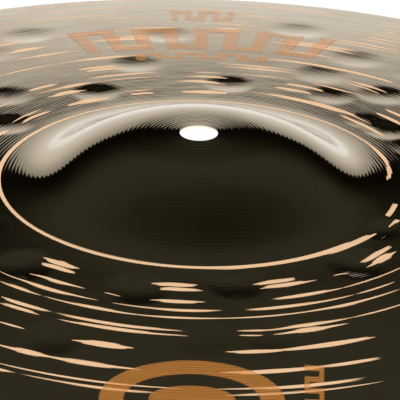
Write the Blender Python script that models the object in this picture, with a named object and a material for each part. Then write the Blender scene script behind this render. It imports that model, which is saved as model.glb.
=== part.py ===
"""Crash cymbal, 16 inch: one hammered and lathed bronze disc with its printed marks.

Units are metres, +Z is up, and the origin is the centre of the circle that the rim rests on.
The front of the cymbal, where its badge is printed, faces -Y.
"""

import math

import bmesh
import bpy

# Driving dimensions of the disc.
DIAMETER = 0.4064
HOLE_DIAMETER = 0.013
BELL_DIAMETER = 0.1354
BELL_RISE = 0.0161
BOW_RISE = 0.0198
CROWN_RISE = 0.0015
CROWN_DIAMETER = 0.0424
BELL_WALL = 0.0012
RIM_WALL = 0.0008
SEAT_DIAMETER = 0.021

# The bell's section falls off as exp(-(r / BELL_SPREAD) ** BELL_SHOULDER): a larger power flattens its top
# and makes its sides steeper. Its foot runs out a little past the line that marks the bell's diameter.
BELL_SPREAD = 0.0495
BELL_SHOULDER = 4.0

# How finely the disc is faceted. The closer rings of the bell's foot end at FOOT_RADIUS.
FOOT_RADIUS = 0.078
DISC_STEPS = 96
BELL_RINGS = 12
FOOT_RINGS = 2
BOW_RINGS = 7

# Printed marks are thin films that keep a small clearance to the metal.
FILM_GAP = 0.0003
FILM_THICKNESS = 0.0002

RIM_RADIUS = DIAMETER / 2
HOLE_RADIUS = HOLE_DIAMETER / 2
BELL_RADIUS = BELL_DIAMETER / 2
SEAT_RADIUS = SEAT_DIAMETER / 2
CROWN_RADIUS = CROWN_DIAMETER / 2

MERGE_DISTANCE = 0.00001


def wall(radius):
    """Thickness of the bronze, which thins evenly from the bell to the rim."""
    share = max(0.0, (radius - BELL_RADIUS) / (RIM_RADIUS - BELL_RADIUS))
    return BELL_WALL + (RIM_WALL - BELL_WALL) * share


def top_height(radius):
    """Height of the upper surface: a shallow bow, the bell on it, and a low crown round the hole."""
    radius = max(radius, SEAT_RADIUS)
    bow = BOW_RISE * (1 - (radius / RIM_RADIUS) ** 2)
    bell = BELL_RISE * math.exp(-((radius / BELL_SPREAD) ** BELL_SHOULDER))
    crown = CROWN_RISE * max(0.0, 1 - radius / CROWN_RADIUS) ** 2
    return RIM_WALL + bow + bell + crown


def under_height(radius):
    """Height of the lower surface."""
    return top_height(radius) - wall(max(radius, SEAT_RADIUS))


def spaced(start, end, count):
    """Evenly spaced numbers from start to end, both included."""
    return [start + (end - start) * step / count for step in range(count + 1)]


def disc_radii():
    """Radii of the profile's points: the hole, the flat seat, the bell, its foot and the bow."""
    bell = spaced(SEAT_RADIUS, BELL_RADIUS, BELL_RINGS)
    foot = spaced(BELL_RADIUS, FOOT_RADIUS, FOOT_RINGS)
    bow = spaced(FOOT_RADIUS, RIM_RADIUS, BOW_RINGS)
    return [HOLE_RADIUS] + bell + foot[1:] + bow[1:]


def material(name, colour, roughness, metallic):
    """A Principled material of one colour."""
    made = bpy.data.materials.new(name)
    made.use_nodes = True
    shader = made.node_tree.nodes["Principled BSDF"]
    shader.inputs["Base Color"].default_value = (*colour, 1.0)
    shader.inputs["Roughness"].default_value = roughness
    shader.inputs["Metallic"].default_value = metallic
    return made


def add_object(name, mesh, finish):
    """Links a mesh to the scene as one named object."""
    mesh.materials.append(finish)
    made = bpy.data.objects.new(name, mesh)
    bpy.context.scene.collection.objects.link(made)
    return made


def make_disc(finish):
    """The disc: its profile, turned round the hole's axis."""
    radii = disc_radii()
    upper = [(radius, 0.0, top_height(radius)) for radius in radii]
    lower = [(radius, 0.0, under_height(radius)) for radius in reversed(radii)]
    profile = upper + lower
    edges = [(i, (i + 1) % len(profile)) for i in range(len(profile))]
    mesh = bpy.data.meshes.new("cymbal_disc")
    mesh.from_pydata(profile, edges, [])
    disc = add_object("cymbal_disc", mesh, finish)
    turn = disc.modifiers.new("Turn", "SCREW")
    turn.axis = "Z"
    turn.angle = math.tau
    turn.steps = DISC_STEPS
    turn.render_steps = DISC_STEPS
    turn.use_merge_vertices = True
    turn.merge_threshold = MERGE_DISTANCE
    turn.use_smooth_shade = True


def make_film(name, cells, place, finish):
    """A printed film made of the cells (i, j) of a grid, whose corners place(i, j) puts in plan.

    The film follows the disc's upper surface and has the thickness of a layer of ink.
    """
    shape = bmesh.new()
    corners = {}

    def corner(i, j):
        x, y = place(i, j)
        key = (round(x, 7), round(y, 7))
        if key not in corners:
            height = top_height(math.hypot(x, y)) + FILM_GAP
            corners[key] = shape.verts.new((x, y, height))
        return corners[key]

    for i, j in cells:
        around = [corner(i, j), corner(i + 1, j), corner(i + 1, j + 1), corner(i, j + 1)]
        shape.faces.new(list(dict.fromkeys(around)))
    bmesh.ops.recalc_face_normals(shape, faces=shape.faces)
    for face in shape.faces:
        if face.normal.z < 0:
            face.normal_flip()
    mesh = bpy.data.meshes.new(name)
    shape.to_mesh(mesh)
    shape.free()
    film = add_object(name, mesh, finish)
    thicken = film.modifiers.new("Thickness", "SOLIDIFY")
    thicken.thickness = FILM_THICKNESS
    thicken.offset = 1.0


# The front badge: an oval ring with a solid oval in it.
BADGE_RADIUS = 0.148
BADGE_HALF_WIDTH = 0.030
BADGE_HALF_HEIGHT = 0.022
BADGE_BAND = 0.008
BADGE_DOT_HALF_WIDTH = 0.014
BADGE_DOT_HALF_HEIGHT = 0.0075
OVAL_STEPS = 48
OVAL_RINGS = 2


def oval_point(step, half_width, half_height):
    """A point on the badge's oval, at one of its steps."""
    angle = math.tau * (step % OVAL_STEPS) / OVAL_STEPS
    x = half_width * math.cos(angle)
    y = -BADGE_RADIUS + half_height * math.sin(angle)
    return x, y


def make_badge(finish):
    """The badge's ring and its centre."""
    cells = [(i, j) for i in range(OVAL_STEPS) for j in range(OVAL_RINGS)]

    def on_ring(i, j):
        inset = BADGE_BAND * (1 - j / OVAL_RINGS)
        return oval_point(i, BADGE_HALF_WIDTH - inset, BADGE_HALF_HEIGHT - inset)

    def on_dot(i, j):
        share = j / OVAL_RINGS
        return oval_point(i, BADGE_DOT_HALF_WIDTH * share, BADGE_DOT_HALF_HEIGHT * share)

    make_film("front_badge_ring", cells, on_ring, finish)
    make_film("front_badge_centre", cells, on_dot, finish)


def meander_cells(bays, rows):
    """Cells of a meander: a bar in every second bay, joined to the next at the outer and inner end by turns."""
    whole = [(i, j) for i in range(bays) for j in range(rows)]
    joints = {1: rows - 1, 3: 0}
    return [(i, j) for i, j in whole if i % 2 == 0 or j == joints[i % 4]]


# The strip beside the badge, which runs straight towards the rim.
STRIP_INNER_X = 0.0362
STRIP_OUTER_X = 0.0426
STRIP_START_Y = -0.126
STRIP_END_Y = -0.168
STRIP_BAYS = 13
STRIP_ROWS = 4


def make_strip(finish):
    """The meander on the badge's right."""

    def place(i, j):
        x = STRIP_INNER_X + (STRIP_OUTER_X - STRIP_INNER_X) * j / STRIP_ROWS
        y = STRIP_START_Y + (STRIP_END_Y - STRIP_START_Y) * i / STRIP_BAYS
        return x, y

    make_film("front_side_strip", meander_cells(STRIP_BAYS, STRIP_ROWS), place, finish)


def arc_place(inner, outer, half_angle, bays, rows):
    """Places the cells of a band that bends round the disc's centre, at the rear."""

    def place(i, j):
        radius = inner + (outer - inner) * j / rows
        angle = math.pi / 2 + half_angle * (1 - 2 * i / bays)
        return radius * math.cos(angle), radius * math.sin(angle)

    return place


# Rear marks, as (name, inner radius, outer radius, half angle in degrees, bays, rows).
REAR_MARKS = [
    ("rear_wide_band", 0.1285, 0.1565, 18.3, 17, 5),
    ("rear_narrow_band", 0.1170, 0.1245, 11.3, 13, 3),
    ("rear_edge_mark", 0.168, 0.183, 3.8, 9, 3),
]


def make_rear_marks(finish):
    """The bands opposite the badge."""
    for name, inner, outer, half_angle, bays, rows in REAR_MARKS:
        place = arc_place(inner, outer, math.radians(half_angle), bays, rows)
        make_film(name, meander_cells(bays, rows), place, finish)


def main():
    for old in list(bpy.data.objects):
        bpy.data.objects.remove(old)
    bronze = material("dark_bronze", (0.09, 0.075, 0.06), 0.3, 1.0)
    ink = material("orange_ink", (0.72, 0.32, 0.08), 0.45, 0.0)
    make_disc(bronze)
    make_badge(ink)
    make_strip(ink)
    make_rear_marks(ink)


main()
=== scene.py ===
"""Looks of the crash cymbal: the hammered and lathed bronze disc, its printed marks, and a pale studio.

Lengths are in millimetres and MM turns them to metres, except for the floor and the camera, which are in
metres. Azimuths are in degrees from +X towards +Y, so the badge at the front is at -90 and the wide print
at the rear is at 90.
"""

import math
import random

import bpy
import numpy as np
from mathutils import Matrix, Vector


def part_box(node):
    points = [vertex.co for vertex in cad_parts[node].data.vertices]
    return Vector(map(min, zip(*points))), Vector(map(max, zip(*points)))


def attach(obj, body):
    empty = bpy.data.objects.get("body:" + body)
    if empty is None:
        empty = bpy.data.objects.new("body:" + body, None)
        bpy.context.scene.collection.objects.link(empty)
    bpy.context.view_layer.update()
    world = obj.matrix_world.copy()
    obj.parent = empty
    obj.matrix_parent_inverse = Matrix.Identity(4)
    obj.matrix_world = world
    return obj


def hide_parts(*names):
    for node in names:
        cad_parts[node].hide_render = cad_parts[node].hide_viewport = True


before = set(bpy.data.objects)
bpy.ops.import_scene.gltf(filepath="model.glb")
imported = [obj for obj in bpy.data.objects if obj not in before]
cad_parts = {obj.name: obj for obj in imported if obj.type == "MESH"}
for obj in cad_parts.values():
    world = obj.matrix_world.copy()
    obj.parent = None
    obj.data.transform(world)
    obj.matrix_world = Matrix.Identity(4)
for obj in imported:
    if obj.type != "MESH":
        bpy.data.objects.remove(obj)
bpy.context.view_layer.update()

MM = 0.001

# The disc's section, as the CAD model has it, in millimetres.
low_corner, high_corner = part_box("cymbal_disc")
RIM_RADIUS = (high_corner[0] - low_corner[0]) / 2 / MM
HOLE_RADIUS = 6.5
BELL_RADIUS = 67.7
BELL_RISE = 16.1
BELL_SPREAD = 49.5
BELL_SHOULDER = 4.0
BOW_RISE = 19.8
CROWN_RISE = 1.5
CROWN_RADIUS = 21.2
BELL_WALL = 1.2
RIM_WALL = 0.8

# The bell's shoulder is a little fuller and its side is drawn in, which coarse facets can't show.
WAIST_RADIUS = 56.5
WAIST_SPREAD = 6.5
WAIST_DEPTH = 0.27
SHOULDER_RADIUS = 43.0
SHOULDER_SPREAD = 9.0
SHOULDER_RISE = 0.5

# How finely the visible disc is meshed: coarsely on the bell, finely over its foot, then over the bow.
SEGMENTS = 440
FOOT_START = 62.0
FOOT_END = 75.5
BELL_RING_STEP = 1.3
FOOT_RING_STEP = 0.6
BOW_RING_STEP = 1.75
UNDER_RING_STEP = 3.9
EDGE_STEPS = 6

# A gap that is a whole number of steps, to within this share of a step, isn't divided further.
WHOLE_STEP = 1e-6

# The hole's edges are rounded to this radius.
HOLE_LIP = 0.04

# The fine grooves that the lathe leaves all over. Slopes are sideways over up.
GROOVE_PITCH = 1.35
GROOVE_SLOPE = 0.021
FINE_GROOVE_PITCH = GROOVE_PITCH / 2.6
FINE_GROOVE_SLOPE = GROOVE_SLOPE * 0.3
FINE_GROOVE_PHASE = 1.0
UNEVEN_PITCH = 1.1
UNEVEN_SLOPE = 0.024
STREAK_PITCH = 1.9
STREAKS_ROUND = 7.0
STREAK_SLOPE = 0.044

# How much deeper or shallower the grooves are, as (from radius, to radius, factor inside, factor outside).
FOOT_GROOVES = (54.0, 66.0, 1.0, 2.3)
BOW_GROOVES = (76.0, 98.0, 1.0, 0.68)
CROWN_GROOVES = (15.0, 28.0, 2.1, 1.0)

# The share of STREAK_SLOPE that shows, written in the same way.
STREAK_SHARE = (55.0, 85.0, 0.1, 1.0)

# Hammer marks that the front view shows: (radius, azimuth, width, depth).
HAMMER_MARKS = [
    (87, -131, 22, 0.86), (84, -103, 22, 0.86), (77.5, -80, 22, 0.86), (80, -47.5, 22, 0.96),
    (69, -28, 18, 0.62), (86, 115, 19, 0.74), (89.5, 83.5, 19, 0.68), (94, 60.5, 19, 0.54),
    (82, 45, 16, 0.32), (83, 38, 19, 0.60),
    (82, 144.5, 20, 0.60), (122, -112, 22, 0.60), (113, -88, 22, 0.36), (113, -77, 22, 0.40),
    (112, 102, 20, 0.60), (113, 67.5, 22, 0.52), (108, 53, 20, 0.60), (102, 132, 20, 0.50),
    (138, 66, 22, 0.56), (147.5, 95, 22, 0.66), (163.5, 77.5, 22, 0.60), (160.5, 113, 22, 0.56),
]

# Where the lathe's tool has cut through to bright metal, for each of its passes in the front view:
# pass radius, then (from azimuth, to azimuth, width).
CUTS = {
    79.0: [(-130, -119.3, 3.0), (-100.5, -89.3, 2.9), (-76, -65, 2.9), (-46, -34, 2.6), (35, 52, 1.5),
           (82.5, 95, 3.0), (101.5, 108.5, 1.2), (113.5, 126, 3.2), (131, 142, 1.1), (147, 153, 1.8)],
    82.0: [(-129.2, -118.5, 3.0), (-98.5, -88, 3.0), (-75, -61, 2.4), (-56, -52, 0.9), (-46, -36, 2.6),
           (44, 78, 2.0), (102, 109.5, 1.0), (132, 142, 1.0)],
    89.5: [(-127.5, -114.3, 2.4), (-109.3, -106, 0.9), (-99.3, -87.5, 2.4), (-75, -57, 1.8),
           (-58, -40, 1.0), (38, 48, 1.5), (64, 73.5, 1.9), (84, 95.5, 1.9), (116.5, 126.5, 2.3)],
    95.0: [(-133, -110, 2.0), (-106.2, -83, 1.7), (-81.5, -57, 1.9), (-56, -47, 1.1), (40, 48, 1.4),
           (62.5, 72.5, 1.7), (84, 93.5, 1.4), (98.5, 111, 1.0), (111, 127, 1.6), (133, 140, 1.0)],
    99.7: [(-131, -120, 1.3), (-120.5, -99, 1.8), (-102, -82, 1.5), (-86, -66, 1.2), (-72, -46, 1.6),
           (54.5, 67, 1.0), (71.5, 82, 1.0), (85.5, 92, 1.0), (98.5, 114.5, 1.3), (119.5, 127.5, 1.5)],
    107.5: [(-127, -115, 1.7), (-117, -91.5, 1.8), (-82.5, -76, 1.4), (-77.5, -62, 2.6), (-61, -50, 1.0),
            (54.5, 62.5, 1.3), (71.5, 86, 1.3), (104, 112.5, 1.7)],
    110.4: [(-126, -117, 1.5), (-114.5, -91.5, 1.9), (-82.2, -78.5, 1.1), (-76, -63.3, 2.4),
            (54, 62, 1.5), (71.5, 87, 1.3), (105, 113.5, 1.7)],
    120.5: [(-122, -117.5, 1.8), (-109, -99.3, 3.7), (-85, -75, 2.6), (-77.5, -60.5, 3.0),
            (54.5, 80, 1.9), (100, 115, 1.9), (115, 127, 1.0)],
    132.5: [(-119, -109, 2.4), (-112, -97.5, 2.8), (-86, -70, 2.6), (-73, -62, 1.8),
            (68, 78, 1.2), (96, 105, 1.3), (108.5, 120, 1.5)],
    142.0: [(-116, -92.2, 1.4), (-86.5, -65.5, 1.6), (67, 80, 1.9), (96, 107, 2.4), (112.5, 120, 2.0)],
    145.2: [(-117, -113.5, 1.2), (-113, -92, 1.3), (-87, -66, 1.4), (67, 79, 1.6), (96, 102, 1.1)],
    152.5: [(62, 73, 1.2), (84, 89, 1.2), (98.5, 110.5, 1.0), (114, 119, 1.3)],
    156.0: [(62, 73, 1.1), (84, 89, 1.1), (92, 101, 0.9), (114, 118, 1.1)],
    162.5: [(64, 70, 1.2), (82, 90, 1.2)],
    166.5: [(64, 69.5, 1.1), (83, 88, 1.1)],
    172.0: [(65, 69.5, 1.0), (96, 104, 0.8)],
    178.5: [(66, 68.5, 0.9), (80, 87, 0.9), (98, 114, 0.9)],
    184.0: [(84, 92, 0.8)],
    188.8: [(67, 70, 0.9), (97, 113, 0.9)],
    194.0: [(72, 88, 0.8)],
    198.6: [(96, 112, 0.8)],
}

# The rest of the disc, which the front view doesn't show, is hammered and cut by seeded chance. The marks
# lie near rings of (radius, how many), each turned by up to a share of the step between two and moved.
SEEN_HALF_WIDTH = 72.0
SEEN_FRONT = 158.0
HAMMER_RINGS = [(85, 14), (113, 17), (141, 20), (167, 23)]
HAMMER_SEED = 7
CHANCE_MARK_TURN = 0.28
CHANCE_MARK_SHIFT = 5
CHANCE_MARK_WIDTHS = (18, 23)
CHANCE_MARK_DEPTHS = (0.28, 0.52)
MARK_SOFTNESS = 1.5
UNDULATIONS = 70
UNDULATION_SEED = 11
UNDULATION_RADII = (80, 190)
UNDULATION_SPREADS = (9, 16)
UNDULATION_DEPTH = 0.11

# Hammering starts between these distances from the line round the bell, and fades out this near the rim.
HAMMER_FADE_IN = (-3, 6)
HAMMER_FADE_OUT = 12

# Cuts placed by chance. The first on a pass starts within this many degrees of +X. Lengths and gaps run
# along the pass, and cuts are narrower beyond a certain radius.
CUT_SEED = 3
CHANCE_CUT_START = 20
CHANCE_CUT_LENGTHS = (14, 52)
CHANCE_CUT_GAPS = (3, 22)
CHANCE_CUT_SHARE = 0.8
CHANCE_CUT_NARROWEST = 0.9
CHANCE_CUT_WIDEST = 3.0
FAR_CUT_WIDEST = 1.8
FAR_CUT_RADIUS = 150

# A cut's width at the rear and at the front, against the one listed, and how round its outline is.
REAR_CUT_FULLNESS = 1.35
FRONT_CUT_FULLNESS = 0.86
CUT_ROUNDNESS = 1.9

# Waves along a cut's edges, as (share of its width, waves per turn, shift per millimetre of radius).
CUT_WOBBLES = [(0.14, 11, 37), (0.10, 23, 91)]

# The disc sat this far off centre on the lathe, towards this azimuth, and the passes between these radii
# show it.
LATHE_SHIFT = 1.0
LATHE_SHIFT_AZIMUTH = 40.0
LATHE_SHIFT_START = (74, 90)
LATHE_SHIFT_END = (150, 200)

# The bright line at the foot of the bell runs clockwise, seen from above, over most of a turn. It is
# furthest out where it starts and furthest in where it ends. Angles are in degrees.
BELL_LINE_START = -20.0
BELL_LINE_END = 4.0
BELL_LINE_TURN = 345
BELL_LINE_SHIFT = 0.9
BELL_LINE_SHIFT_AZIMUTH = 60
BELL_LINE_DRIFT = 4.0
BELL_LINE_START_DRIFT = 17
BELL_LINE_END_DRIFT = 11

# Its half width, which is less at the rear than at the front and more a little past the start.
BELL_LINE_HALF_WIDTH = 0.80
BELL_LINE_REAR_THINNING = 0.12
BELL_LINE_SWELL = 0.5
BELL_LINE_SWELL_PLACE = 22
BELL_LINE_SWELL_SPREAD = 14

# It thins out over these angles towards its end and on both sides of the gap in it.
BELL_LINE_END_TAPER = 4
BELL_LINE_GAP = -28.0
BELL_LINE_GAP_HALF = 2.5
BELL_LINE_GAP_TAPER = 6
TAPER_FULLNESS = 0.6

# The stored depth of a point that is well outside every cut.
NO_CUT = -0.9


def wall(radius):
    """Thickness of the bronze."""
    share = np.clip((radius - BELL_RADIUS) / (RIM_RADIUS - BELL_RADIUS), 0, None)
    return BELL_WALL + (RIM_WALL - BELL_WALL) * share


def smooth_top(radius):
    """Height of the upper surface before hammering."""
    bow = BOW_RISE * (1 - (radius / RIM_RADIUS) ** 2)
    bell = BELL_RISE * np.exp(-((radius / BELL_SPREAD) ** BELL_SHOULDER))
    crown = CROWN_RISE * np.clip(1 - radius / CROWN_RADIUS, 0, None) ** 2
    waist = WAIST_DEPTH * np.exp(-(((radius - WAIST_RADIUS) / WAIST_SPREAD) ** 2))
    shoulder = SHOULDER_RISE * np.exp(-(((radius - SHOULDER_RADIUS) / SHOULDER_SPREAD) ** 2))
    return RIM_WALL + bow + bell + crown - waist + shoulder


def ramp(value, start, end):
    """0 at start, 1 at end, smooth between."""
    share = np.clip((value - start) / (end - start), 0, 1)
    return share * share * (3 - 2 * share)


def seen(x, y):
    """Whether the front view shows this point."""
    return abs(x) < SEEN_HALF_WIDTH and y > -SEEN_FRONT


def all_hammer_marks():
    """(x, y, width, depth) of every hammer mark: the listed ones, then chance ones where they aren't seen."""
    marks = []
    for radius, azimuth, width, depth in HAMMER_MARKS:
        angle = math.radians(azimuth)
        marks.append((radius * math.cos(angle), radius * math.sin(angle), width, depth))
    chance = random.Random(HAMMER_SEED)
    for radius, count in HAMMER_RINGS:
        for step in range(count):
            angle = math.tau * (step + chance.uniform(-CHANCE_MARK_TURN, CHANCE_MARK_TURN)) / count
            away = radius + chance.uniform(-CHANCE_MARK_SHIFT, CHANCE_MARK_SHIFT)
            x, y = away * math.cos(angle), away * math.sin(angle)
            width, depth = chance.uniform(*CHANCE_MARK_WIDTHS), chance.uniform(*CHANCE_MARK_DEPTHS)
            if not seen(x, y):
                marks.append((x, y, width, depth))
    return marks


def undulations():
    """(x, y, spread, height) of the broad, very shallow waves that hammering leaves in the bow."""
    chance = random.Random(UNDULATION_SEED)
    waves = []
    for _ in range(UNDULATIONS):
        radius, angle = chance.uniform(*UNDULATION_RADII), chance.uniform(0, math.tau)
        height = chance.uniform(-UNDULATION_DEPTH, UNDULATION_DEPTH)
        spread = chance.uniform(*UNDULATION_SPREADS)
        waves.append((radius * math.cos(angle), radius * math.sin(angle), spread, height))
    return waves


MARKS = all_hammer_marks()
WAVES = undulations()


def hammering(x, y):
    """Height that the hammer adds to the smooth surface: bowls with soft edges, and broad waves."""
    height = np.zeros_like(x)
    for mark_x, mark_y, width, depth in MARKS:
        away = ((x - mark_x) ** 2 + (y - mark_y) ** 2) / (width / 2) ** 2
        height -= depth * np.clip(1 - away, 0, None) ** MARK_SOFTNESS
    for wave_x, wave_y, spread, rise in WAVES:
        height += rise * np.exp(-((x - wave_x) ** 2 + (y - wave_y) ** 2) / (2 * spread**2))
    return height


def top_height(x, y):
    """Height of the finished upper surface."""
    radius = np.hypot(x, y)
    past_bell = ramp(radius, BELL_RADIUS + HAMMER_FADE_IN[0], BELL_RADIUS + HAMMER_FADE_IN[1])
    on_bow = past_bell * (1 - ramp(radius, RIM_RADIUS - HAMMER_FADE_OUT, RIM_RADIUS))
    return smooth_top(radius) + hammering(x, y) * on_bow


def filled(rings, step):
    """The rings with more between them wherever two are further apart than step."""
    rings = sorted(set(rings))
    out = [rings[0]]
    for ring in rings[1:]:
        gap = ring - out[-1]
        pieces = max(1, math.ceil(gap / step - WHOLE_STEP))
        start = out[-1]
        out += [start + gap * piece / pieces for piece in range(1, pieces + 1)]
    return out


def top_rings():
    """Radii of the upper surface's rings. Each lathe pass has a ring along it and one halfway to the next,
    and one close to the hole keeps the hole's edge crisp."""
    passes = sorted(CUTS)
    halfway = [(a + b) / 2 for a, b in zip(passes, passes[1:])]
    bell = filled([HOLE_RADIUS + HOLE_LIP, HOLE_RADIUS + 3 * HOLE_LIP, FOOT_START], BELL_RING_STEP)
    foot = filled([FOOT_START, FOOT_END], FOOT_RING_STEP)
    bow = filled([FOOT_END, *passes, *halfway, RIM_RADIUS - RIM_WALL / 2], BOW_RING_STEP)
    return bell + foot[1:] + bow[1:]


def pass_shift(azimuth, ring):
    """How far a lathe pass lies outside its nominal radius: the disc sat a little off centre on the lathe."""
    shift = LATHE_SHIFT * (1 + np.cos(np.radians(azimuth - LATHE_SHIFT_AZIMUTH)))
    return shift * ramp(ring, *LATHE_SHIFT_START) * (1 - ramp(ring, *LATHE_SHIFT_END))


def degrees_apart(azimuth, other):
    """The angle between two azimuths, from 0 to 180."""
    return np.abs((azimuth - other + 180) % 360 - 180)


def cut_width(azimuth, start, end, width):
    """Half width of one cut along its pass: a lens, and negative beyond its ends."""
    middle, half = (start + end) / 2, (end - start) / 2
    along = degrees_apart(azimuth, middle) / half
    fullness = REAR_CUT_FULLNESS if 0 < middle < 180 else FRONT_CUT_FULLNESS
    return np.maximum(fullness * width / 2 * (1 - along**CUT_ROUNDNESS), NO_CUT)


def chance_cuts(radius, chance):
    """Cuts of one pass outside the front view."""
    cuts = []
    widest = CHANCE_CUT_WIDEST if radius < FAR_CUT_RADIUS else FAR_CUT_WIDEST
    azimuth = chance.uniform(0, CHANCE_CUT_START)
    while azimuth < 360:
        length = chance.uniform(*CHANCE_CUT_LENGTHS)
        turn = math.degrees(length / radius)
        ends = [math.radians(azimuth), math.radians(azimuth + turn)]
        hidden = not any(seen(radius * math.cos(a), radius * math.sin(a)) for a in ends)
        if hidden and chance.random() < CHANCE_CUT_SHARE:
            cuts.append((azimuth, azimuth + turn, chance.uniform(CHANCE_CUT_NARROWEST, widest)))
        azimuth += turn + math.degrees(chance.uniform(*CHANCE_CUT_GAPS) / radius)
    return cuts


def tapered(half, inside, length):
    """Half width that falls to nothing over length as inside, the distance from a cut's end, goes to 0."""
    return np.where(inside > 0, half * np.clip(inside / length, 0, 1) ** TAPER_FULLNESS, NO_CUT)


def bell_line(ring, azimuth):
    """How far inside the bright line at the foot of the bell a point is, in millimetres."""
    gone = (BELL_LINE_START - azimuth) % 360
    left = (azimuth - BELL_LINE_END) % 360
    line = BELL_RADIUS + BELL_LINE_SHIFT * (1 + np.cos(np.radians(azimuth - BELL_LINE_SHIFT_AZIMUTH)))
    drift = np.exp(-gone / BELL_LINE_START_DRIFT) - np.exp(-left / BELL_LINE_END_DRIFT)
    line = line + BELL_LINE_DRIFT * drift
    swell = np.exp(-(((gone - BELL_LINE_SWELL_PLACE) / BELL_LINE_SWELL_SPREAD) ** 2))
    half = BELL_LINE_HALF_WIDTH - BELL_LINE_REAR_THINNING * np.sin(np.radians(azimuth))
    half = half + BELL_LINE_SWELL * swell
    half = tapered(half, np.where(left < BELL_LINE_TURN, left, 0), BELL_LINE_END_TAPER)
    beside_gap = degrees_apart(azimuth, BELL_LINE_GAP) - BELL_LINE_GAP_HALF
    half = tapered(half, beside_gap, BELL_LINE_GAP_TAPER)
    return half - np.abs(ring - line)


def cut_field(rings, azimuths):
    """For each ring and azimuth, how far inside a cut it is, in millimetres; negative outside."""
    field = np.full((len(rings), len(azimuths)), NO_CUT)
    chance = random.Random(CUT_SEED)
    ring_column = np.array(rings)[:, None]
    for radius in sorted(CUTS):
        half = np.full(len(azimuths), NO_CUT)
        wobble = np.zeros(len(azimuths))
        for share, waves, shift in CUT_WOBBLES:
            wobble += share * np.sin(np.radians(azimuths * waves + radius * shift))
        for start, end, width in CUTS[radius] + chance_cuts(radius, chance):
            half = np.maximum(half, cut_width(azimuths, start, end, width))
        half = np.where(half > 0, half * (1 + wobble), half)
        field = np.maximum(field, half[None, :] - np.abs(ring_column - radius))
    return field


def ring_points(rings, azimuths):
    """x and y of every ring's points, with the lathe's passes shifted as they really run."""
    angles = np.radians(azimuths)[None, :]
    ring_column = np.array(rings)[:, None]
    radii = ring_column + pass_shift(azimuths[None, :], ring_column)
    return radii * np.cos(angles), radii * np.sin(angles)


def level_row(height):
    """One row of points, all at the same height."""
    return np.full((1, SEGMENTS), height)


def rim_rows():
    """(radius, heights) of the rows round the rim, from the top down."""
    edge = RIM_WALL / 2
    turns = [math.pi * step / EDGE_STEPS for step in range(1, EDGE_STEPS)]
    radii = [RIM_RADIUS - edge + edge * math.sin(turn) for turn in turns]
    return [(radius, level_row(edge + edge * math.cos(turn))) for radius, turn in zip(radii, turns)]


def under_rows(angles):
    """(radius, heights) of the rows of the underside, from the rim in."""
    outermost = RIM_RADIUS - RIM_WALL / 2
    rows = []
    for ring in filled([HOLE_RADIUS + HOLE_LIP, BELL_RADIUS, outermost], UNDER_RING_STEP)[::-1]:
        height = top_height(ring * np.cos(angles), ring * np.sin(angles)) - wall(ring)
        rows.append((ring, height if ring < outermost else level_row(0.0)))
    return rows


def lip_rows():
    """(radius, heights) of the rows through the mounting hole, whose edges are rounded, from below up."""
    middle = HOLE_RADIUS + HOLE_LIP
    upper = float(smooth_top(np.array(middle))) - HOLE_LIP
    lower = upper + 2 * HOLE_LIP - BELL_WALL
    rows = []
    for turn in (math.pi / 4, math.pi / 2):
        rows.append((middle - HOLE_LIP * math.sin(turn), level_row(lower - HOLE_LIP * math.cos(turn))))
    for turn in (0, math.pi / 4):
        rows.append((middle - HOLE_LIP * math.cos(turn), level_row(upper + HOLE_LIP * math.sin(turn))))
    return rows


def disc_grid():
    """Points of the closed disc as rows of rings: out over the top, round the rim, back along the underside
    and up through the hole. Returns x, y, z and the cut field."""
    azimuths = np.arange(SEGMENTS) * 360.0 / SEGMENTS
    angles = np.radians(azimuths)[None, :]
    rings = top_rings()
    x, y = ring_points(rings, azimuths)
    cut = np.maximum(cut_field(rings, azimuths), bell_line(np.hypot(x, y), azimuths[None, :]))
    parts = [(x, y, top_height(x, y), cut)]
    for radius, height in rim_rows() + under_rows(angles) + lip_rows():
        parts.append((radius * np.cos(angles), radius * np.sin(angles), height, level_row(NO_CUT)))
    return [np.concatenate(part) for part in zip(*parts)]


def add_piece(name, mesh, finish, node):
    """Links a mesh as a piece that stands for a CAD node."""
    mesh.materials.append(finish)
    mesh.shade_smooth()
    piece = bpy.data.objects.new(name, mesh)
    bpy.context.scene.collection.objects.link(piece)
    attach(piece, "root")
    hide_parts(node)
    return piece


def make_disc(finish):
    """The whole disc as one closed mesh, with how deep each point lies in a lathe cut stored on it."""
    x, y, z, cut = disc_grid()
    rows = x.shape[0]
    row, column = np.meshgrid(np.arange(rows), np.arange(SEGMENTS), indexing="ij")
    next_row, next_column = (row + 1) % rows, (column + 1) % SEGMENTS
    corners = [row * SEGMENTS + column, next_row * SEGMENTS + column]
    corners += [next_row * SEGMENTS + next_column, row * SEGMENTS + next_column]
    faces = np.stack(corners, -1).reshape(-1, 4)
    mesh = bpy.data.meshes.new("hammered_disc")
    mesh.from_pydata(np.stack([x, y, z], -1).reshape(-1, 3) * MM, [], faces.tolist())
    mesh.attributes.new("cut", "FLOAT", "POINT").data.foreach_set("value", cut.ravel())
    return add_piece("hammered_disc", mesh, finish, "cymbal_disc")


# Printed marks: a thin film of ink just above the hammered bronze.
INK_GAP = 0.05
INK_THICKNESS = 0.04

# Corners of a film that agree to this many decimals, in millimetres, are one corner.
CORNER_DECIMALS = 4


def grid_faces(cells, place):
    """Corners, in plan, of a grid's cells, each corner once, and the cells as faces between them."""
    numbers, faces = {}, []
    for i, j in cells:
        face = []
        for corner in ((i, j), (i + 1, j), (i + 1, j + 1), (i, j + 1)):
            x, y = place(*corner)
            spot = (round(x, CORNER_DECIMALS), round(y, CORNER_DECIMALS))
            number = numbers.setdefault(spot, len(numbers))
            if number not in face:
                face.append(number)
        faces.append(face)
    return np.array(list(numbers)), faces


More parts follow.
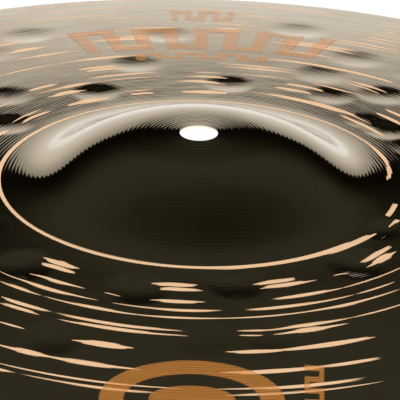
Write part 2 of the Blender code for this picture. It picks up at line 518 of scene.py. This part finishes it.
def facing_up(faces, x, y):
    """The faces, turned over if the first of them looks down."""
    first = faces[0]
    turn = sum(x[a] * y[b] - x[b] * y[a] for a, b in zip(first, first[1:] + first[:1]))
    return [face[::-1] for face in faces] if turn < 0 else faces


def make_film(name, cells, place, finish):
    """A film of ink over a grid's cells (i, j), whose corners place(i, j) puts in plan, in millimetres."""
    corners, faces = grid_faces(cells, place)
    x, y = corners[:, 0], corners[:, 1]
    faces = facing_up(faces, x, y)
    count = len(corners)
    edges = {(a, b) for face in faces for a, b in zip(face, face[1:] + face[:1])}
    sides = [[a, b, b + count, a + count] for a, b in edges if (b, a) not in edges]
    tops = [[corner + count for corner in face] for face in faces]
    bottoms = [face[::-1] for face in faces]
    low = top_height(x, y) + INK_GAP
    both = np.concatenate([np.column_stack([x, y, low]), np.column_stack([x, y, low + INK_THICKNESS])])
    mesh = bpy.data.meshes.new(name)
    mesh.from_pydata(both * MM, [], tops + bottoms + sorted(sides))
    return add_piece(name, mesh, finish, name.replace("_ink", ""))


# The badge at the front: a ring and a solid middle, both ovals. BADGE_RADIUS is how far out its centre lies.
BADGE_RADIUS = 148.0
BADGE_HALF_WIDTH = 30.0
BADGE_HALF_HEIGHT = 22.0
BADGE_BAND = 8.0
BADGE_DOT_HALF_WIDTH = 14.0
BADGE_DOT_HALF_HEIGHT = 7.5
OVAL_STEPS = 144
OVAL_RINGS = 8


def oval_point(step, half_width, half_height):
    """A point on the badge's oval, at one of its steps."""
    angle = math.tau * (step % OVAL_STEPS) / OVAL_STEPS
    return half_width * math.cos(angle), -BADGE_RADIUS + half_height * math.sin(angle)


def make_badge(finish):
    """The badge's ring and its centre."""
    cells = [(i, j) for i in range(OVAL_STEPS) for j in range(OVAL_RINGS)]

    def on_ring(i, j):
        inset = BADGE_BAND * (1 - j / OVAL_RINGS)
        return oval_point(i, BADGE_HALF_WIDTH - inset, BADGE_HALF_HEIGHT - inset)

    def on_dot(i, j):
        share = j / OVAL_RINGS
        return oval_point(i, BADGE_DOT_HALF_WIDTH * share, BADGE_DOT_HALF_HEIGHT * share)

    make_film("front_badge_ring_ink", cells, on_ring, finish)
    make_film("front_badge_centre_ink", cells, on_dot, finish)


# Every bay and row of a meander is meshed this many times finer than its outline needs.
FINER = 4


def meander_cells(bays, rows):
    """Cells of a meander: a bar in every second bay, joined to the next at its two ends by turns."""
    cells = []
    joints = {1: rows - 1, 3: 0}
    for i in range(bays):
        for j in range(rows):
            if i % 2 == 0 or j == joints[i % 4]:
                cells += [(i * FINER + a, j * FINER + b) for a in range(FINER) for b in range(FINER)]
    return cells


# The strip on the badge's right runs along Y, between these places.
STRIP_X = (36.2, 42.6)
STRIP_Y = (-126.0, -168.0)
STRIP_BAYS = 13
STRIP_ROWS = 4


def make_strip(finish):
    """The meander on the badge's right."""

    def place(i, j):
        x = STRIP_X[0] + (STRIP_X[1] - STRIP_X[0]) * j / (STRIP_ROWS * FINER)
        y = STRIP_Y[0] + (STRIP_Y[1] - STRIP_Y[0]) * i / (STRIP_BAYS * FINER)
        return x, y

    make_film("front_side_strip_ink", meander_cells(STRIP_BAYS, STRIP_ROWS), place, finish)


# Rear marks, as (name, inner radius, outer radius, half angle in degrees, bays, rows).
REAR_MARKS = [
    ("rear_wide_band_ink", 128.5, 156.5, 18.3, 17, 5),
    ("rear_narrow_band_ink", 117.0, 124.5, 11.3, 13, 3),
    ("rear_edge_mark_ink", 168.0, 183.0, 3.8, 9, 3),
]


def make_rear_mark(name, inner, outer, half_angle, bays, rows, finish):
    """One meander that bends round the disc's centre, opposite the badge."""

    def place(i, j):
        radius = inner + (outer - inner) * j / (rows * FINER)
        angle = math.pi / 2 + math.radians(half_angle) * (1 - 2 * i / (bays * FINER))
        return radius * math.cos(angle), radius * math.sin(angle)

    make_film(name, meander_cells(bays, rows), place, finish)


class Nodes:
    """Short calls for building a node tree."""

    def __init__(self, tree):
        self.tree = tree

    def add(self, kind, **settings):
        node = self.tree.nodes.new(kind)
        for key, value in settings.items():
            setattr(node, key, value)
        return node

    def put(self, socket, value):
        """Sets a socket to a number or links it to another node's output."""
        if isinstance(value, bpy.types.NodeSocket):
            self.tree.links.new(value, socket)
        else:
            socket.default_value = value

    def math(self, operation, first, second=0.0, third=0.0):
        node = self.add("ShaderNodeMath", operation=operation)
        for socket, value in zip(node.inputs, (first, second, third)):
            self.put(socket, value)
        return node.outputs[0]

    def vector(self, operation, first, second=None, scale=None):
        node = self.add("ShaderNodeVectorMath", operation=operation)
        self.put(node.inputs[0], first)
        if second is not None:
            self.put(node.inputs[1], second)
        if scale is not None:
            self.put(node.inputs["Scale"], scale)
        return node.outputs["Value" if operation == "LENGTH" else "Vector"]

    def between(self, value, low, high, to_low=0.0, to_high=1.0, smooth=True):
        """value mapped from low..high to to_low..to_high and held there beyond."""
        kind = "SMOOTHSTEP" if smooth else "LINEAR"
        node = self.add("ShaderNodeMapRange", interpolation_type=kind, clamp=True)
        for socket, number in zip(node.inputs, (value, low, high, to_low, to_high)):
            self.put(socket, number)
        return node.outputs["Result"]

    def mix(self, factor, first, second):
        node = self.add("ShaderNodeMix", data_type="RGBA")
        colours = [socket for socket in node.inputs if socket.type == "RGBA"]
        self.put(node.inputs["Factor"], factor)
        for socket, value in zip(colours, (first, second)):
            self.put(socket, value if isinstance(value, bpy.types.NodeSocket) else (*value, 1.0))
        return next(socket for socket in node.outputs if socket.type == "RGBA")

    def noise(self, vector, scale=1.0, detail=2.0):
        node = self.add("ShaderNodeTexNoise")
        self.put(node.inputs["Vector"], vector)
        self.put(node.inputs["Scale"], scale)
        self.put(node.inputs["Detail"], detail)
        return node.outputs["Fac"]


def new_material(name):
    """A material with its nodes helper and its Principled shader."""
    made = bpy.data.materials.new(name)
    made.use_nodes = True
    return made, Nodes(made.node_tree), made.node_tree.nodes["Principled BSDF"]


def plan_place(nodes):
    """The point in plan in millimetres, and its distance from the disc's axis."""
    place = nodes.add("ShaderNodeTexCoord").outputs["Object"]
    flat = nodes.vector("MULTIPLY", place, (1 / MM, 1 / MM, 0.0))
    return flat, nodes.vector("LENGTH", flat)


def groove_wave(nodes, radius, pitch, phase=0.0):
    """A wave from -1 to 1 that repeats every pitch millimetres of radius."""
    turns = nodes.math("MULTIPLY_ADD", radius, math.tau / pitch, phase)
    return nodes.math("SINE", turns)


def ring_noise(nodes, radius, pitch):
    """A number from 0 to 1 that changes from one circle to the next but not along it."""
    spot = nodes.add("ShaderNodeCombineXYZ")
    nodes.put(spot.inputs[0], nodes.math("DIVIDE", radius, pitch))
    return nodes.noise(spot.outputs[0])


def streaks(nodes, flat, radius):
    """A number from 0 to 1 whose patches are drawn out along the lathe's passes."""
    spot = nodes.add("ShaderNodeCombineXYZ")
    nodes.put(spot.inputs[2], nodes.math("DIVIDE", radius, STREAK_PITCH))
    round_axis = nodes.vector("SCALE", nodes.vector("NORMALIZE", flat), scale=STREAKS_ROUND)
    return nodes.noise(nodes.vector("ADD", round_axis, spot.outputs[0]))


def grooved_normal(nodes, flat, radius):
    """The surface normal tilted in and out by the lathe's grooves."""
    coarse = nodes.math("MULTIPLY", groove_wave(nodes, radius, GROOVE_PITCH), GROOVE_SLOPE)
    wave = groove_wave(nodes, radius, FINE_GROOVE_PITCH, FINE_GROOVE_PHASE)
    fine = nodes.math("MULTIPLY", wave, FINE_GROOVE_SLOPE)
    rings = ring_noise(nodes, radius, UNEVEN_PITCH)
    uneven = nodes.math("MULTIPLY_ADD", rings, UNEVEN_SLOPE, -UNEVEN_SLOPE / 2)
    tilt = nodes.math("ADD", nodes.math("ADD", coarse, fine), uneven)
    drawn = nodes.math("MULTIPLY_ADD", streaks(nodes, flat, radius), STREAK_SLOPE, -STREAK_SLOPE / 2)
    drawn = nodes.math("MULTIPLY", drawn, nodes.between(radius, *STREAK_SHARE))
    tilt = nodes.math("ADD", tilt, drawn)
    foot = nodes.between(radius, *FOOT_GROOVES)
    bow = nodes.between(radius, *BOW_GROOVES)
    crown = nodes.between(radius, *CROWN_GROOVES)
    deeper = nodes.math("MULTIPLY", nodes.math("MULTIPLY", foot, bow), crown)
    tilt = nodes.math("MULTIPLY", tilt, deeper)
    outwards = nodes.vector("NORMALIZE", flat)
    normal = nodes.add("ShaderNodeNewGeometry").outputs["Normal"]
    leaned = nodes.vector("ADD", normal, nodes.vector("SCALE", outwards, scale=tilt))
    return nodes.vector("NORMALIZE", leaned)


# Colours of the metal, dark and in the cuts, and how metallic it is on the bow and in the cuts.
BRONZE = (0.50, 0.43, 0.33)
BRONZE_WORN = (0.48, 0.405, 0.30)
# This colour paints shade on the outward-facing slope of each groove, and also gives random rings of darker
# tone.
GROOVE_SHADE_AND_RING_TONE = (0.24, 0.20, 0.15)
CUT_CORE = (0.84, 0.575, 0.365)
CUT_STREAK = (0.76, 0.485, 0.285)
CUT_EDGE = (0.62, 0.37, 0.19)
# The bore's bare metal is painted nearly white, paler than the cuts' bronze: a painted highlight that matches
# the white seen through the hole.
BARE_BORE_WITH_HIGHLIGHT = (0.97, 0.92, 0.84)
BOW_METALLIC = 0.997
BOW_METALLIC_START = (BELL_RADIUS - 3, BELL_RADIUS + 9)
CUT_METALLIC = 0.35

# Worn patches of the dark metal, fine rings of noise, and how much painted shade on each groove's
# outward-facing slope and those rings of tone darken it.
PATCH_SCALE = 0.035
PATCH_DETAIL = 3.0
PATCH_EDGE = (0.35, 0.7)
FINE_RING_PITCH = 0.5
FINE_RING_EDGE = (0.3, 0.7)
GROOVE_SHADE_AMOUNT = 0.09
RING_LINES = (0.25, 0.8, 0.0, 0.30)

# How much grooves and rings tear a cut's edge, and how softly it ends, in millimetres.
CUT_GROOVE_TEARING = 0.19
CUT_RING_TEARING = 0.24
CUT_SOFTNESS = 0.07
CUT_EDGE_WIDTH = 0.25

# Roughness, as (from, to, least, most): by the patches' noise, and what radius adds to it. Cuts add more.
PATCH_ROUGHNESS = (0.3, 0.75, 0.035, 0.06)
BOW_ROUGHNESS = (60.0, 200.0, 0.0, 0.07)
CUT_ROUGHNESS = 0.36


def bronze_colour(nodes, radius, coarse, streaky, patches, ragged, cut):
    """Dark metal with painted shade on the outward-facing slope of each groove and darker rings of tone,
    bright metal in the cuts, and the hole's bare bore, painted nearly white as a highlight.
    """
    dark = nodes.mix(nodes.between(patches, *PATCH_EDGE), BRONZE, BRONZE_WORN)
    # Painted shade: darker on the outward-facing slope of each groove, plus random rings of darker tone.
    groove_shade_and_rings = nodes.math("MULTIPLY_ADD", coarse, GROOVE_SHADE_AMOUNT, nodes.between(streaky, *RING_LINES))
    dark = nodes.mix(nodes.math("MAXIMUM", groove_shade_and_rings, 0.0), dark, GROOVE_SHADE_AND_RING_TONE)
    bright = nodes.mix(nodes.between(streaky, *FINE_RING_EDGE), CUT_CORE, CUT_STREAK)
    bright = nodes.mix(nodes.between(ragged, 0.0, CUT_EDGE_WIDTH), CUT_EDGE, bright)
    # Painted highlight: the bore's bare metal is coloured nearly white.
    bore = nodes.between(radius, HOLE_RADIUS + HOLE_LIP, HOLE_RADIUS + HOLE_LIP / 2)
    return nodes.mix(bore, nodes.mix(cut, dark, bright), BARE_BORE_WITH_HIGHLIGHT)


def bronze_material():
    """Dark bronze with fine lathe grooves, and bright metal wherever the stored cut is above zero."""
    made, nodes, shader = new_material("hammered_bronze")
    flat, radius = plan_place(nodes)
    coarse = groove_wave(nodes, radius, GROOVE_PITCH)
    streaky = ring_noise(nodes, radius, FINE_RING_PITCH)
    patches = nodes.noise(flat, PATCH_SCALE, PATCH_DETAIL)

    stored = nodes.add("ShaderNodeAttribute", attribute_name="cut").outputs["Fac"]
    ragged = nodes.math("MULTIPLY_ADD", coarse, CUT_GROOVE_TEARING, stored)
    torn = nodes.math("MULTIPLY_ADD", streaky, CUT_RING_TEARING, -CUT_RING_TEARING / 2)
    ragged = nodes.math("ADD", ragged, torn)
    cut = nodes.between(ragged, -CUT_SOFTNESS, CUT_SOFTNESS)

    colour = bronze_colour(nodes, radius, coarse, streaky, patches, ragged, cut)
    nodes.put(shader.inputs["Base Color"], colour)
    dull = nodes.between(radius, *BOW_METALLIC_START, 1.0, BOW_METALLIC)
    metallic = nodes.between(cut, 0.0, 1.0, dull, CUT_METALLIC, smooth=False)
    nodes.put(shader.inputs["Metallic"], metallic)
    smooth = nodes.between(patches, *PATCH_ROUGHNESS)
    smooth = nodes.math("ADD", smooth, nodes.between(radius, *BOW_ROUGHNESS, smooth=False))
    rough = nodes.math("MULTIPLY_ADD", cut, CUT_ROUGHNESS, smooth)
    nodes.put(shader.inputs["Roughness"], rough)
    nodes.put(shader.inputs["Normal"], grooved_normal(nodes, flat, radius))
    return made


# The ink's colour, and a darker colour that paints shade on the outward-facing slope of each groove below it
# and gives random rings of tone. INK_SOLIDITY is how opaque each of a film's two faces is, and INK_SPECKLE
# varies it. Roughness is (from, to, least, most) by the speckle's noise.
INK = (0.92, 0.38, 0.080)
INK_GROOVE_SHADE_AND_TONE = (0.54, 0.215, 0.044)
INK_SOLIDITY = 0.20
INK_SPECKLE = 0.05
SPECKLE_SCALE = 1.6
SPECKLE_DETAIL = 3.0
INK_GROOVE_SHADE_AMOUNT = 0.6
INK_ROUGHNESS = (0.3, 0.7, 0.14, 0.24)
INK_IOR = 1.6


def ink_material():
    """Translucent orange ink, with painted shade on the outward-facing slope of each groove below it and
    random rings of darker tone.
    """
    made, nodes, shader = new_material("orange_ink")
    flat, radius = plan_place(nodes)
    coarse = groove_wave(nodes, radius, GROOVE_PITCH)
    streaky = ring_noise(nodes, radius, FINE_RING_PITCH)
    # Painted shade: darker on the outward-facing slope of each groove, plus random rings of darker tone.
    ink_shade_and_tone = nodes.math("MULTIPLY_ADD", coarse, INK_GROOVE_SHADE_AMOUNT, nodes.between(streaky, *FINE_RING_EDGE))
    nodes.put(shader.inputs["Base Color"], nodes.mix(nodes.between(ink_shade_and_tone, 0.0, 1.0), INK, INK_GROOVE_SHADE_AND_TONE))
    speckle = nodes.noise(flat, SPECKLE_SCALE, SPECKLE_DETAIL)
    solid = nodes.math("MULTIPLY_ADD", speckle, INK_SPECKLE, INK_SOLIDITY - INK_SPECKLE / 2)
    nodes.put(shader.inputs["Alpha"], solid)
    nodes.put(shader.inputs["Roughness"], nodes.between(speckle, *INK_ROUGHNESS))
    nodes.put(shader.inputs["Normal"], grooved_normal(nodes, flat, radius))
    shader.inputs["IOR"].default_value = INK_IOR
    return made


# The studio's surroundings. The edge of their pale part is SKY_SIDE_DROP degrees lower to the sides and in
# front than behind the cymbal. It is also SKY_TILT degrees lower than that at +X, and as much higher at -X.
SKY_STRENGTH = 1.5
SKY_SIDE_DROP = 15.3
SKY_TILT = 8.0

# Their colour at each height above the horizon, in degrees, behind the cymbal.
SKY = [
    (-90, (0.54, 0.52, 0.51)),
    (-10, (0.565, 0.545, 0.525)),
    (0, (0.69, 0.655, 0.615)),
    (3, (0.655, 0.62, 0.57)),
    (6, (0.635, 0.595, 0.545)),
    (9, (0.56, 0.53, 0.48)),
    (12, (0.455, 0.435, 0.395)),
    (15, (0.355, 0.335, 0.30)),
    (16.9, (0.30, 0.28, 0.25)),
    (17.5, (0.003, 0.002, 0.001)),
    (23, (0.004, 0.0035, 0.0015)),
    (28, (0.0095, 0.009, 0.005)),
    (33, (0.0245, 0.0232, 0.0148)),
    (39, (0.0362, 0.0354, 0.0245)),
    (48, (0.0365, 0.0362, 0.0250)),
    (58, (0.031, 0.031, 0.021)),
    (68, (0.0215, 0.022, 0.013)),
    (90, (0.015, 0.015, 0.009)),
]


def studio_height(nodes):
    """The height that a direction counts as, in radians, which is raised where the pale part is lower."""
    direction = nodes.add("ShaderNodeTexCoord").outputs["Generated"]
    upwards = nodes.add("ShaderNodeSeparateXYZ")
    nodes.put(upwards.inputs[0], nodes.vector("NORMALIZE", direction))
    height = nodes.math("ARCSINE", upwards.outputs["Z"])
    level = nodes.add("ShaderNodeSeparateXYZ")
    flat = nodes.vector("MULTIPLY", direction, (1.0, 1.0, 0.0))
    nodes.put(level.inputs[0], nodes.vector("NORMALIZE", flat))
    off_rear = nodes.math("SUBTRACT", 1.0, nodes.math("MAXIMUM", level.outputs["Y"], 0.0))
    height = nodes.math("MULTIPLY_ADD", off_rear, math.radians(SKY_SIDE_DROP), height)
    return nodes.math("MULTIPLY_ADD", level.outputs["X"], math.radians(SKY_TILT), height)


def make_sky():
    """A world that is pale low down and dark above. The pale part reaches highest behind the cymbal."""
    world = bpy.data.worlds.new("studio")
    world.use_nodes = True
    bpy.context.scene.world = world
    nodes = Nodes(world.node_tree)
    share = nodes.math("MULTIPLY_ADD", studio_height(nodes), 1 / math.pi, 0.5)
    colours = nodes.add("ShaderNodeValToRGB")
    nodes.put(colours.inputs[0], share)
    band = colours.color_ramp
    while len(band.elements) < len(SKY):
        band.elements.new(0.5)
    for stop, (degrees, colour) in zip(band.elements, SKY):
        stop.position = (degrees + 90) / 180
        stop.color = (*colour, 1.0)
    background = world.node_tree.nodes["Background"]
    nodes.put(background.inputs["Color"], colours.outputs["Color"])
    background.inputs["Strength"].default_value = SKY_STRENGTH


# The overhead light. Its softness is the angle that it fills, in degrees.
OVERHEAD_STRENGTH = 4.6
OVERHEAD_SOFTNESS = 100.0
OVERHEAD_COLOUR = (1.0, 0.98, 0.95)


def make_overhead_light():
    """A very soft light from above, which the polished metal doesn't mirror."""
    light = bpy.data.lights.new("overhead", "SUN")
    light.energy = OVERHEAD_STRENGTH
    light.angle = math.radians(OVERHEAD_SOFTNESS)
    light.color = OVERHEAD_COLOUR
    lamp = bpy.data.objects.new("overhead", light)
    lamp.visible_glossy = False
    bpy.context.scene.collection.objects.link(lamp)


# The floor, in metres, lies just under the rim so that the two don't touch.
FLOOR_RADIUS = 40.0
FLOOR_STEPS = 128
FLOOR_HEIGHT = -0.0002
FLOOR_GREYS = ((0.11, 0.11, 0.11), (0.13, 0.13, 0.13))
FLOOR_GRAIN_SCALE = 0.02
FLOOR_ROUGHNESS = 0.9
FLOOR_GLOW = 1.0


def make_floor():
    """A table that glows white and reflects little light, and reaches past every view."""
    made, nodes, shader = new_material("light_table")
    flat, _ = plan_place(nodes)
    grain = nodes.noise(flat, FLOOR_GRAIN_SCALE)
    nodes.put(shader.inputs["Base Color"], nodes.mix(grain, *FLOOR_GREYS))
    shader.inputs["Roughness"].default_value = FLOOR_ROUGHNESS
    shader.inputs["Specular IOR Level"].default_value = 0.0
    shader.inputs["Emission Color"].default_value = (1.0, 1.0, 1.0, 1.0)
    shader.inputs["Emission Strength"].default_value = FLOOR_GLOW
    rim = [math.tau * step / FLOOR_STEPS for step in range(FLOOR_STEPS)]
    points = [(FLOOR_RADIUS * math.cos(turn), FLOOR_RADIUS * math.sin(turn), 0.0) for turn in rim]
    mesh = bpy.data.meshes.new("floor")
    mesh.from_pydata(points, [], [list(range(FLOOR_STEPS))])
    mesh.materials.append(made)
    floor = bpy.data.objects.new("floor", mesh)
    bpy.context.scene.collection.objects.link(floor)
    floor.location.z = FLOOR_HEIGHT


# The camera: where it aims, in metres, and how it looks there.
AIM = Vector((0.00097, -0.01425, 0.01876))
CAMERA_DISTANCE = 2.15
CAMERA_ELEVATION = 24.81
CAMERA_ROLL = 1.43
LENS = 569.0


def make_camera():
    """A long lens that looks down on the bell from the front."""
    tilt, roll = math.radians(CAMERA_ELEVATION), math.radians(CAMERA_ROLL)
    forward = Vector((0, math.cos(tilt), -math.sin(tilt)))
    level = Vector((1, 0, 0))
    above = level.cross(forward)
    right = math.cos(roll) * level + math.sin(roll) * above
    up = math.cos(roll) * above - math.sin(roll) * level
    data = bpy.data.cameras.new("camera")
    data.lens = LENS
    camera = bpy.data.objects.new("camera", data)
    turn = Matrix((right, up, -forward)).transposed().to_4x4()
    camera.matrix_world = Matrix.Translation(AIM - CAMERA_DISTANCE * forward) @ turn
    bpy.context.scene.collection.objects.link(camera)
    bpy.context.scene.camera = camera


def main():
    """Makes the studio, then the disc and its printed marks."""
    make_camera()
    make_sky()
    make_overhead_light()
    make_floor()
    make_disc(bronze_material())
    ink = ink_material()
    make_badge(ink)
    make_strip(ink)
    for mark in REAR_MARKS:
        make_rear_mark(*mark, ink)
    bpy.context.scene.view_settings.view_transform = "Standard"


main()
